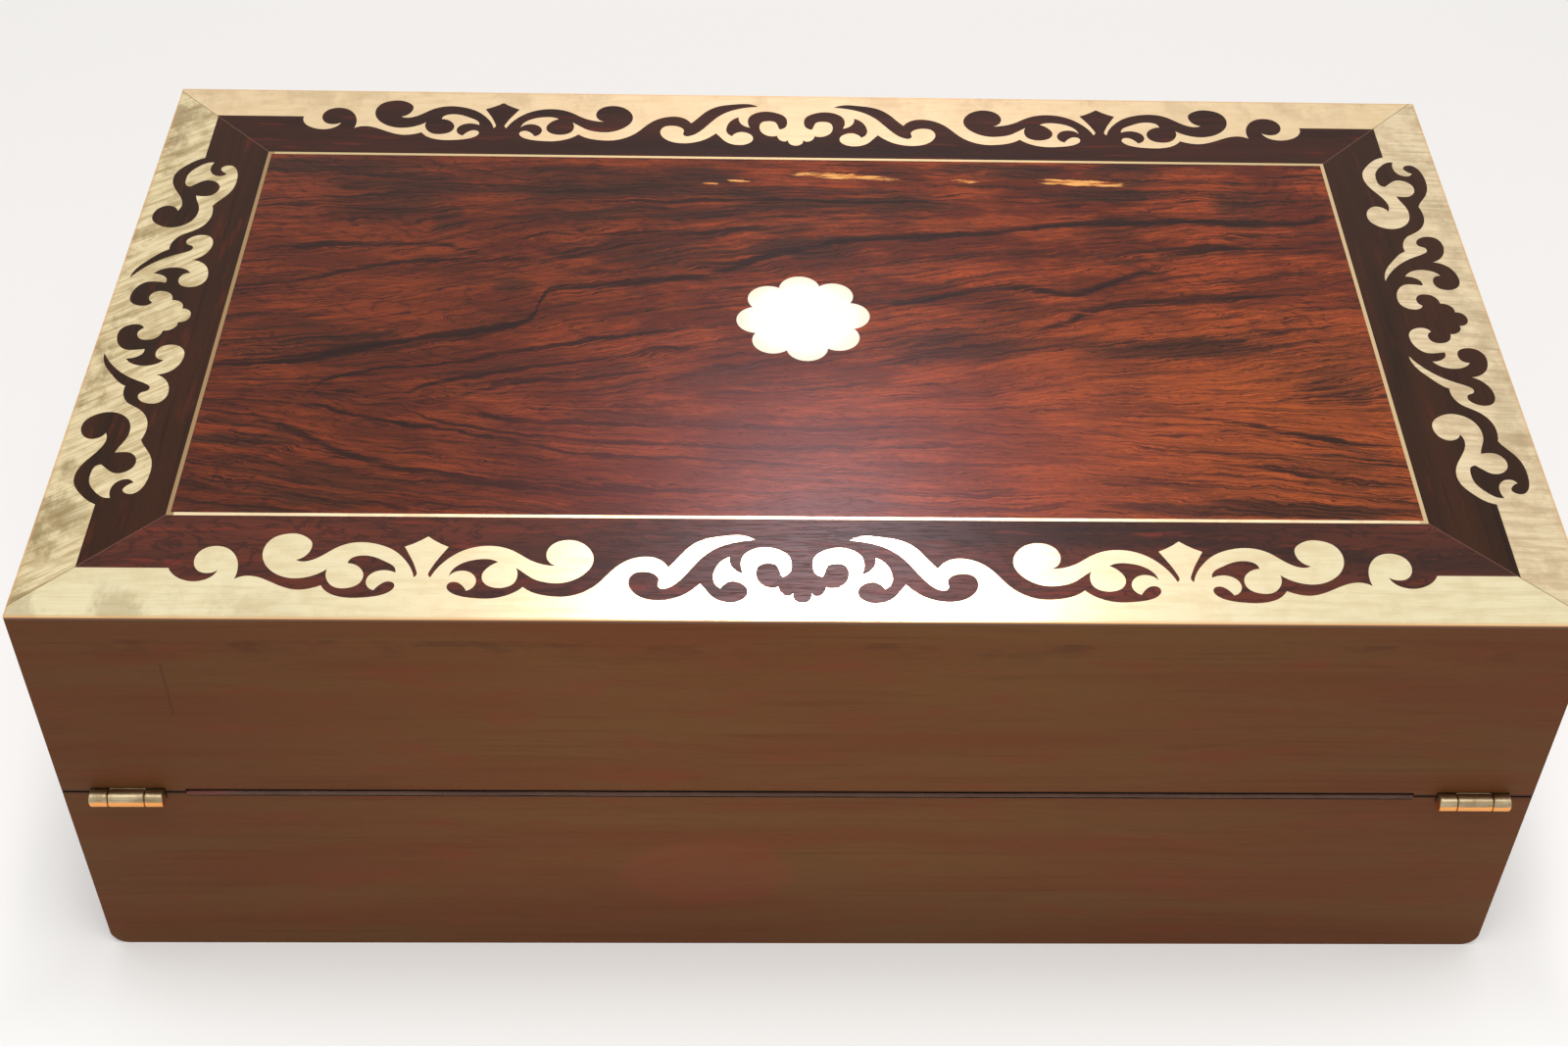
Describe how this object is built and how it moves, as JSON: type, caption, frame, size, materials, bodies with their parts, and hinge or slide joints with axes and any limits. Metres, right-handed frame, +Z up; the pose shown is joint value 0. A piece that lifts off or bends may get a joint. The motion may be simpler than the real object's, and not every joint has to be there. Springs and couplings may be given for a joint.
{
  "type": "writing slope",
  "caption": "Closed writing slope: a hinged wooden box that opens flat into a sloping desk, its lid inlaid with brass scrolls and a pearl rosette.",
  "frame": {"origin": "centre of the underside of the box", "axes": "+Z up; -Y is the hinged back; +Y is the locked front; +X is to the right as seen from the back"},
  "size_m": [0.4, 0.2383, 0.138],
  "materials": {
    "mahogany": "waxed",
    "rosewood": "polished",
    "pine": "plain",
    "old_brass": "satin",
    "writing_leather": "worn",
    "pearl": "polished mother-of-pearl",
    "bottle_glass": "clear"
  },
  "bodies": {
    "base": {"base_bottom": "mahogany", "base_back_wall": "mahogany", "base_front_wall": "mahogany", "base_left_wall": "mahogany", "base_right_wall": "mahogany", "base_flap_ledges": "pine", "pen_partition": "mahogany", "pen_floor": "pine", "well_dividers": "mahogany", "tray_bearers": "pine", "pen_tray": "mahogany", "ink_bottle_left": "bottle_glass", "ink_bottle_right": "bottle_glass", "ink_collar_left": "old_brass", "ink_collar_right": "old_brass", "ink_pins": "old_brass", "fold_leather": "writing_leather", "hinge_leaf_base_left": "old_brass", "hinge_leaf_base_right": "old_brass", "hinge_pins": "old_brass", "hinge_screws_base": "old_brass", "lock_case": "old_brass", "lock_escutcheon": "old_brass"},
    "lid": {"lid_board": "mahogany", "lid_back_wall": "mahogany", "lid_front_wall": "mahogany", "lid_left_wall": "mahogany", "lid_right_wall": "mahogany", "lid_flap_ledges": "pine", "rosewood_panel": "rosewood", "pearl_rosette": "pearl", "brass_stringing": "old_brass", "brass_border_near": "old_brass", "brass_border_far": "old_brass", "brass_border_left": "old_brass", "brass_border_right": "old_brass", "wood_border_near": "rosewood", "wood_border_far": "rosewood", "wood_border_left": "rosewood", "wood_border_right": "rosewood", "hinge_leaf_lid_left": "old_brass", "hinge_leaf_lid_right": "old_brass", "hinge_screws_lid": "old_brass", "link_plate": "old_brass", "fold_leather_lid": "writing_leather"},
    "upper_flap": {"upper_flap_board": "pine", "upper_flap_band": "rosewood", "upper_flap_leather": "writing_leather"},
    "lower_flap": {"lower_flap_board": "pine", "lower_flap_band": "rosewood", "lower_flap_leather": "writing_leather", "flap_catch_plate": "old_brass"},
    "flap_catch": {"flap_catch_bolt": "old_brass"},
    "lock_bolt": {"lock_bolt": "old_brass"},
    "ink_cap_left": {"ink_cap_left": "old_brass"},
    "ink_cap_right": {"ink_cap_right": "old_brass"}
  },
  "joints": [
    {"name": "lid_hinge", "type": "hinge", "parent": "base", "child": "lid", "pos_m": [0, -0.1189, 0.069], "axis": [1, 0, 0], "range_deg": [0, 180]},
    {"name": "upper_flap_hinge", "type": "hinge", "parent": "base", "child": "upper_flap", "pos_m": [0, -0.10586, 0.0703], "axis": [1, 0, 0], "range_deg": [0, 60]},
    {"name": "lower_flap_hinge", "type": "hinge", "parent": "lid", "child": "lower_flap", "pos_m": [0, -0.10483, 0.0723], "axis": [1, 0, 0], "range_deg": [-60, 0]},
    {"name": "flap_catch_slide", "type": "slide", "parent": "lower_flap", "child": "flap_catch", "axis": [0, 0.9859, 0.1672], "range_m": [0, 0.003]},
    {"name": "lock_bolt_slide", "type": "slide", "parent": "base", "child": "lock_bolt", "axis": [1, 0, 0], "range_m": [0, 0.003]},
    {"name": "ink_cap_left_hinge", "type": "hinge", "parent": "base", "child": "ink_cap_left", "pos_m": [-0.168, 0.0643, 0.0871], "axis": [1, 0, 0], "range_deg": [0, 90]},
    {"name": "ink_cap_right_hinge", "type": "hinge", "parent": "base", "child": "ink_cap_right", "pos_m": [0.168, 0.0643, 0.0871], "axis": [1, 0, 0], "range_deg": [0, 90]}
  ],
  "couplings": [
    {"joint": "upper_flap_hinge", "follows": "lid_hinge", "ratio": 0.33333},
    {"joint": "lower_flap_hinge", "follows": "lid_hinge", "ratio": -0.33333},
    {"joint": "ink_cap_left_hinge", "follows": "lid_hinge", "ratio": 0.5},
    {"joint": "ink_cap_right_hinge", "follows": "lid_hinge", "ratio": 0.5}
  ]
}
